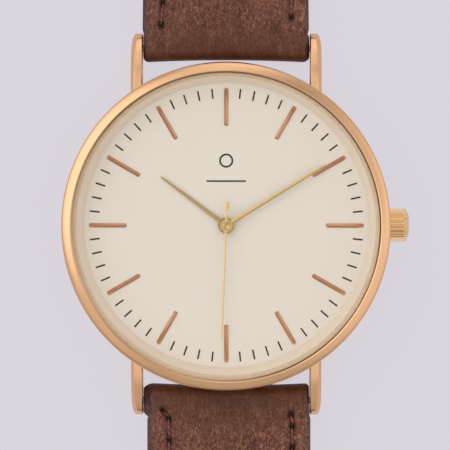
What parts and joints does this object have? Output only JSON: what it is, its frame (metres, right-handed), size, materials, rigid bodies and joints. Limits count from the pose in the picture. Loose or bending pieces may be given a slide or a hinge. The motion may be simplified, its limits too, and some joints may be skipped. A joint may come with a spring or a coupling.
{
  "type": "wristwatch",
  "caption": "Slim round analogue wristwatch with hour, minute and seconds hands, pull-out crown and two-piece leather strap with pin buckle, laid open.",
  "frame": {"origin": "centre of the case back's outer face", "axes": "+Z out of the dial, +Y to 12 o'clock along the strap, +X to the crown at 3 o'clock"},
  "size_m": [0.0423, 0.2423, 0.007],
  "materials": {
    "case_gold": "polished rose-gold plating on steel",
    "index_gold": "polished rose-gold plating",
    "hand_gold": "polished yellow-gold plating",
    "dial_cream": "fine satin",
    "crystal_glass": "clear, polished",
    "gasket_rubber": "matte",
    "back_steel": "circular brushed",
    "part_steel": "satin",
    "wheel_brass": "satin",
    "frame_plastic": "moulded",
    "coil_copper": "fine enamelled wire",
    "board_green": "solder-mask lacquer",
    "strap_leather": "fine-grained, softly waxed, with contrast stitching"
  },
  "bodies": {
    "case": {"case_middle": "case_gold", "bezel": "case_gold", "crystal": "crystal_glass", "crystal_gasket": "gasket_rubber", "caseback": "back_steel", "caseback_gasket": "gasket_rubber", "dial": "dial_cream", "dial_flange": "dial_cream", "hour_index_01": "index_gold", "hour_index_02": "index_gold", "hour_index_03": "index_gold", "hour_index_04": "index_gold", "hour_index_05": "index_gold", "hour_index_06": "index_gold", "hour_index_07": "index_gold", "hour_index_08": "index_gold", "hour_index_09": "index_gold", "hour_index_10": "index_gold", "hour_index_11": "index_gold", "hour_index_12": "index_gold", "movement_ring": "frame_plastic", "main_plate": "frame_plastic", "train_bridge": "part_steel", "battery": "part_steel", "battery_clamp": "part_steel", "coil": "coil_copper", "stator": "part_steel", "circuit_board": "board_green", "quartz_can": "part_steel", "crown_tube": "part_steel", "spring_bar_12": "part_steel", "spring_bar_6": "part_steel"},
    "seconds": {"seconds_hand": "hand_gold", "fourth_wheel": "wheel_brass"},
    "fifth": {"fifth_wheel": "wheel_brass"},
    "rotor": {"rotor": "part_steel"},
    "third": {"third_wheel": "wheel_brass"},
    "centre": {"centre_wheel": "wheel_brass"},
    "minutes": {"minute_hand": "hand_gold", "cannon_pinion": "part_steel"},
    "hours": {"hour_hand": "hand_gold", "hour_wheel": "wheel_brass"},
    "minute_wheel": {"minute_wheel": "wheel_brass"},
    "setting_wheel": {"setting_wheel": "part_steel"},
    "clutch": {"clutch_wheel": "part_steel"},
    "crown": {"crown": "case_gold", "stem": "part_steel", "crown_gasket": "gasket_rubber"},
    "setting_lever": {"setting_lever": "part_steel"},
    "pin_12_right": {"spring_bar_12_pin_right": "part_steel"},
    "pin_12_left": {"spring_bar_12_pin_left": "part_steel"},
    "pin_6_right": {"spring_bar_6_pin_right": "part_steel"},
    "pin_6_left": {"spring_bar_6_pin_left": "part_steel"},
    "strap_12": {"strap_12": "strap_leather", "fixed_keeper": "strap_leather"},
    "strap_6": {"strap_6": "strap_leather"},
    "sliding_keeper": {"sliding_keeper": "strap_leather"},
    "buckle": {"buckle_frame": "case_gold", "buckle_bar": "part_steel"},
    "tongue": {"buckle_tongue": "case_gold"}
  },
  "joints": [
    {"name": "seconds_hand", "type": "hinge", "parent": "case", "child": "seconds", "pos_m": [0, 0, 0.003], "axis": [0, 0, 1], "continuous": true},
    {"name": "fifth_wheel", "type": "hinge", "parent": "case", "child": "fifth", "pos_m": [-0.00286, -0.00104, 0.003], "axis": [0, 0, 1], "continuous": true},
    {"name": "rotor", "type": "hinge", "parent": "case", "child": "rotor", "pos_m": [-0.00401, -0.00219, 0.003], "axis": [0, 0, 1], "continuous": true},
    {"name": "third_wheel", "type": "hinge", "parent": "case", "child": "third", "pos_m": [0.00153, -0.00265, 0.003], "axis": [0, 0, 1], "continuous": true},
    {"name": "centre_wheel", "type": "hinge", "parent": "case", "child": "centre", "pos_m": [0, 0, 0.003], "axis": [0, 0, 1], "continuous": true},
    {"name": "minute_hand", "type": "hinge", "parent": "case", "child": "minutes", "pos_m": [0, 0, 0.003], "axis": [0, 0, 1], "continuous": true},
    {"name": "hour_hand", "type": "hinge", "parent": "case", "child": "hours", "pos_m": [0, 0, 0.003], "axis": [0, 0, 1], "continuous": true},
    {"name": "minute_wheel", "type": "hinge", "parent": "case", "child": "minute_wheel", "pos_m": [0.00204, 0.00204, 0.003], "axis": [0, 0, 1], "continuous": true},
    {"name": "setting_wheel", "type": "hinge", "parent": "case", "child": "setting_wheel", "pos_m": [0.00456, 0, 0.003], "axis": [0, 0, 1], "continuous": true},
    {"name": "crown_turn", "type": "hinge", "parent": "case", "child": "clutch", "pos_m": [0.0067, 0, 0.0026], "axis": [1, 0, 0], "continuous": true},
    {"name": "crown_pull", "type": "slide", "parent": "clutch", "child": "crown", "axis": [1, 0, 0], "range_m": [0, 0.001]},
    {"name": "setting_lever", "type": "hinge", "parent": "case", "child": "setting_lever", "pos_m": [0.00915, -0.0025, 0.0032], "axis": [0, 0, 1], "range_deg": [-26, 1]},
    {"name": "pin_12_right", "type": "slide", "parent": "case", "child": "pin_12_right", "axis": [-1, 0, 0], "range_m": [0, 0.0009], "stiffness_N_per_m": 500, "springref_m": -0.001},
    {"name": "pin_12_left", "type": "slide", "parent": "case", "child": "pin_12_left", "axis": [1, 0, 0], "range_m": [0, 0.0009], "stiffness_N_per_m": 500, "springref_m": -0.001},
    {"name": "pin_6_right", "type": "slide", "parent": "case", "child": "pin_6_right", "axis": [-1, 0, 0], "range_m": [0, 0.0009], "stiffness_N_per_m": 500, "springref_m": -0.001},
    {"name": "pin_6_left", "type": "slide", "parent": "case", "child": "pin_6_left", "axis": [1, 0, 0], "range_m": [0, 0.0009], "stiffness_N_per_m": 500, "springref_m": -0.001},
    {"name": "strap_12_swing", "type": "hinge", "parent": "case", "child": "strap_12", "pos_m": [0, 0.0215, 0.0023], "axis": [1, 0, 0], "range_deg": [-100, 80]},
    {"name": "strap_6_swing", "type": "hinge", "parent": "case", "child": "strap_6", "pos_m": [0, -0.0215, 0.0023], "axis": [-1, 0, 0], "range_deg": [-100, 80]},
    {"name": "sliding_keeper", "type": "slide", "parent": "strap_12", "child": "sliding_keeper", "axis": [0, 1, 0], "range_m": [-0.02, 0.0095]},
    {"name": "buckle_swing", "type": "hinge", "parent": "strap_12", "child": "buckle", "pos_m": [0, 0.0965, 0.00225], "axis": [1, 0, 0], "range_deg": [-90, 35]},
    {"name": "tongue_swing", "type": "hinge", "parent": "buckle", "child": "tongue", "pos_m": [0, 0.0965, 0.00225], "axis": [1, 0, 0], "range_deg": [0, 85]}
  ],
  "couplings": [
    {"joint": "fifth_wheel", "follows": "seconds_hand", "ratio": -6},
    {"joint": "rotor", "follows": "seconds_hand", "ratio": 30},
    {"joint": "third_wheel", "follows": "seconds_hand", "ratio": -0.13333},
    {"joint": "centre_wheel", "follows": "seconds_hand", "ratio": 0.016667},
    {"joint": "minute_wheel", "follows": "minute_hand", "ratio": -0.33333},
    {"joint": "hour_hand", "follows": "minute_hand", "ratio": 0.083333},
    {"joint": "setting_wheel", "follows": "minute_hand", "ratio": 0.66667},
    {"joint": "setting_lever", "follows": "crown_pull", "rad_per_m": -394.8}
  ]
}
